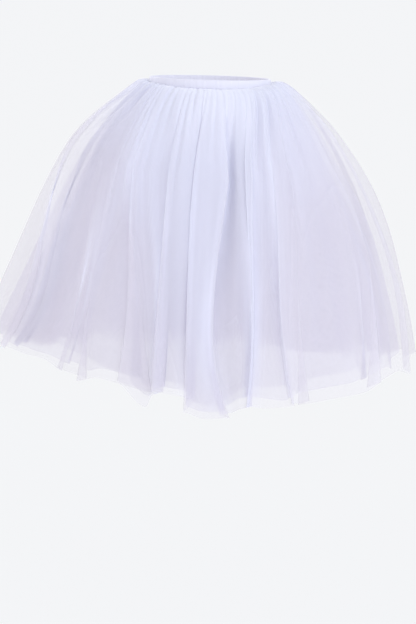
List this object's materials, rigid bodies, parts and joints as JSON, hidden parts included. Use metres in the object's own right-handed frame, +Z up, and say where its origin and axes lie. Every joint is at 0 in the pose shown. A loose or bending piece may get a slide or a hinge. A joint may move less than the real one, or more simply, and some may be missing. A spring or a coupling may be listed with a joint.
{
  "type": "ballet tutu",
  "caption": "Long bell-shaped ballet tutu skirt of soft gathered tulle in several layers, with a narrow elastic waistband and an open hem.",
  "frame": {"origin": "middle of the waist opening at the waistband's mid height, where the wearer holds the skirt", "axes": "+Z up out of the waistband, -Y towards the garment's front, +X towards the wearer's left side"},
  "size_m": [0.9245, 0.7083, 0.6382],
  "materials": {
    "elastic": "white ribbed elastic with a soft sheen",
    "tulle": "soft white see-through tulle with a faint lavender tint"
  },
  "bodies": {
    "root": {"waistband": "elastic", "outer_tulle_front": "tulle", "outer_tulle_back": "tulle", "middle_tulle_front": "tulle", "middle_tulle_back": "tulle", "inner_tulle_front": "tulle", "inner_tulle_back": "tulle"}
  },
  "joints": []
}
